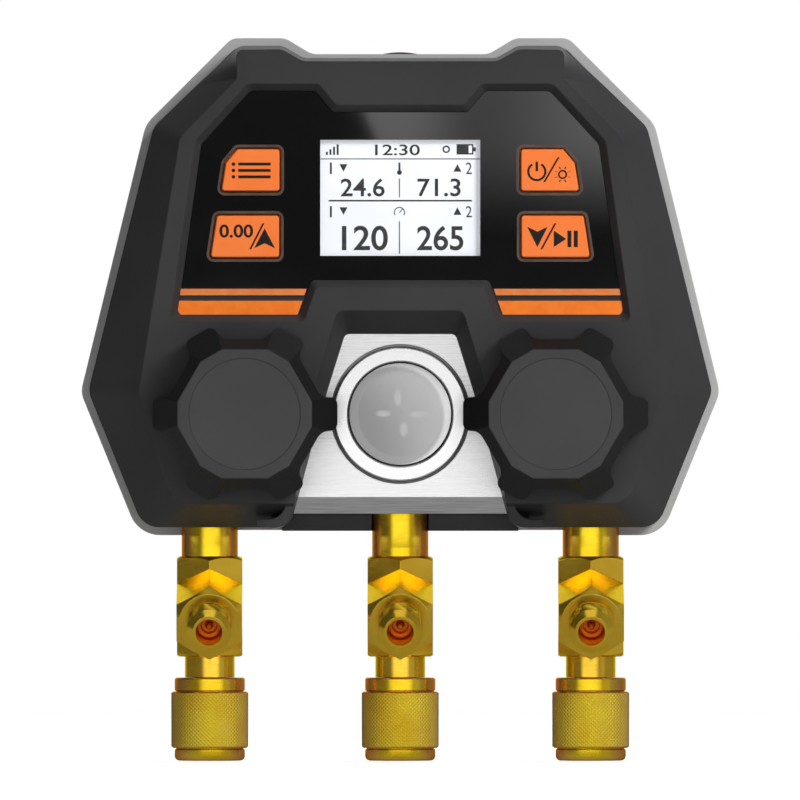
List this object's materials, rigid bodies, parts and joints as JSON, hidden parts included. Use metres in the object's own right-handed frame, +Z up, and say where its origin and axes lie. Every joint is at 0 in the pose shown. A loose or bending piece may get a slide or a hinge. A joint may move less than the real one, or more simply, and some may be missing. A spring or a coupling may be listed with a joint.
{
  "type": "refrigerant manifold gauge",
  "caption": "Digital manifold gauge: an aluminium valve block in a moulded case with a display, keys, lobed valve knobs, a sight glass, brass flare tees and swivel nuts.",
  "frame": {"origin": "on the flat back of the case, behind the centre of the sight glass, at the height of the valve axes", "axes": "+Z up as the gauge hangs, +Y out of the back of the case, +X towards the high side knob, on the right seen from the front"},
  "size_m": [0.1598, 0.07, 0.1812],
  "materials": {
    "light_shell": "fine moulded texture",
    "dark_shell": "fine moulded texture",
    "panel_black": "gloss",
    "window_clear": "clear acrylic",
    "display_white": "lit display",
    "circuit_board": "solder mask",
    "switch_black": "moulded",
    "key_ring": "satin",
    "key_orange": "satin",
    "block_aluminium": "brushed",
    "polished_steel": "polished",
    "sight_glass": "polished",
    "rubber_black": "matte",
    "brass": "polished",
    "steel": "zinc plated",
    "knob_black": "matte",
    "knob_cap": "satin",
    "hook_black": "glass-filled nylon",
    "cell_wrap": "printed wrap",
    "contact_plate": "nickel plated"
  },
  "bodies": {
    "case": {"rear_shell": "light_shell", "front_shell": "dark_shell", "sill": "dark_shell", "panel": "panel_black", "display_window": "window_clear", "display_module": "display_white", "main_board": "circuit_board", "key_switches": "switch_black", "key_rings": "key_ring", "manifold_block": "block_aluminium", "gallery_plugs": "brass", "sight_bezel": "polished_steel", "sight_glass": "sight_glass", "sight_gasket": "rubber_black", "low_valve_bonnet": "brass", "high_valve_bonnet": "brass", "low_side_nipple": "brass", "low_side_tee": "brass", "centre_nipple": "brass", "centre_tee": "brass", "high_side_nipple": "brass", "high_side_tee": "brass", "low_side_pressure_sensor": "steel", "high_side_pressure_sensor": "steel", "hook_pin": "steel", "battery_cell_1": "cell_wrap", "battery_cell_2": "cell_wrap", "battery_cell_3": "cell_wrap", "battery_cell_4": "cell_wrap", "battery_contacts": "contact_plate", "case_screws": "steel", "block_screws": "steel", "board_screws": "steel"},
    "low_valve_piston": {"low_valve_piston": "brass", "low_piston_ring": "rubber_black"},
    "low_hand_wheel": {"low_side_knob": "knob_black", "low_knob_cap": "knob_cap", "low_knob_screw": "steel", "low_valve_stem": "steel"},
    "high_valve_piston": {"high_valve_piston": "brass", "high_piston_ring": "rubber_black"},
    "high_hand_wheel": {"high_side_knob": "knob_black", "high_knob_cap": "knob_cap", "high_knob_screw": "steel", "high_valve_stem": "steel"},
    "mode_key": {"mode_key": "key_orange"},
    "power_key": {"power_key": "key_orange"},
    "up_key": {"up_key": "key_orange"},
    "down_key": {"down_key": "key_orange"},
    "low_side_nut": {"low_side_swivel_nut": "brass"},
    "centre_nut": {"centre_swivel_nut": "brass"},
    "high_side_nut": {"high_side_swivel_nut": "brass"},
    "hook": {"hook": "hook_black"},
    "battery_door": {"battery_door": "light_shell"}
  },
  "joints": [
    {"name": "low_valve_lift", "type": "slide", "parent": "case", "child": "low_valve_piston", "axis": [0, -1, 0], "range_m": [0, 0.0045]},
    {"name": "low_knob_turn", "type": "hinge", "parent": "low_valve_piston", "child": "low_hand_wheel", "pos_m": [-0.0388, -0.048, 0], "axis": [0, -1, 0], "range_deg": [0, 1080]},
    {"name": "high_valve_lift", "type": "slide", "parent": "case", "child": "high_valve_piston", "axis": [0, -1, 0], "range_m": [0, 0.0045]},
    {"name": "high_knob_turn", "type": "hinge", "parent": "high_valve_piston", "child": "high_hand_wheel", "pos_m": [0.0388, -0.048, 0], "axis": [0, -1, 0], "range_deg": [0, 1080]},
    {"name": "mode_key_press", "type": "slide", "parent": "case", "child": "mode_key", "axis": [0, 1, 0], "range_m": [0, 0.0008], "stiffness_N_per_m": 1500},
    {"name": "power_key_press", "type": "slide", "parent": "case", "child": "power_key", "axis": [0, 1, 0], "range_m": [0, 0.0008], "stiffness_N_per_m": 1500},
    {"name": "up_key_press", "type": "slide", "parent": "case", "child": "up_key", "axis": [0, 1, 0], "range_m": [0, 0.0008], "stiffness_N_per_m": 1500},
    {"name": "down_key_press", "type": "slide", "parent": "case", "child": "down_key", "axis": [0, 1, 0], "range_m": [0, 0.0008], "stiffness_N_per_m": 1500},
    {"name": "low_side_nut_swivel", "type": "hinge", "parent": "case", "child": "low_side_nut", "pos_m": [-0.04775, -0.024, -0.0765], "axis": [0, 0, 1], "continuous": true},
    {"name": "centre_nut_swivel", "type": "hinge", "parent": "case", "child": "centre_nut", "pos_m": [0, -0.024, -0.0765], "axis": [0, 0, 1], "continuous": true},
    {"name": "high_side_nut_swivel", "type": "hinge", "parent": "case", "child": "high_side_nut", "pos_m": [0.04775, -0.024, -0.0765], "axis": [0, 0, 1], "continuous": true},
    {"name": "hook_fold", "type": "hinge", "parent": "case", "child": "hook", "pos_m": [0, -0.0046, 0.0865], "axis": [1, 0, 0], "range_deg": [0, 180]},
    {"name": "battery_door_slide", "type": "slide", "parent": "case", "child": "battery_door", "axis": [0, 0, -1], "range_m": [0, 0.014]}
  ],
  "couplings": [
    {"joint": "low_valve_lift", "follows": "low_knob_turn", "m_per_rad": 0.00023873},
    {"joint": "high_valve_lift", "follows": "high_knob_turn", "m_per_rad": 0.00023873}
  ]
}
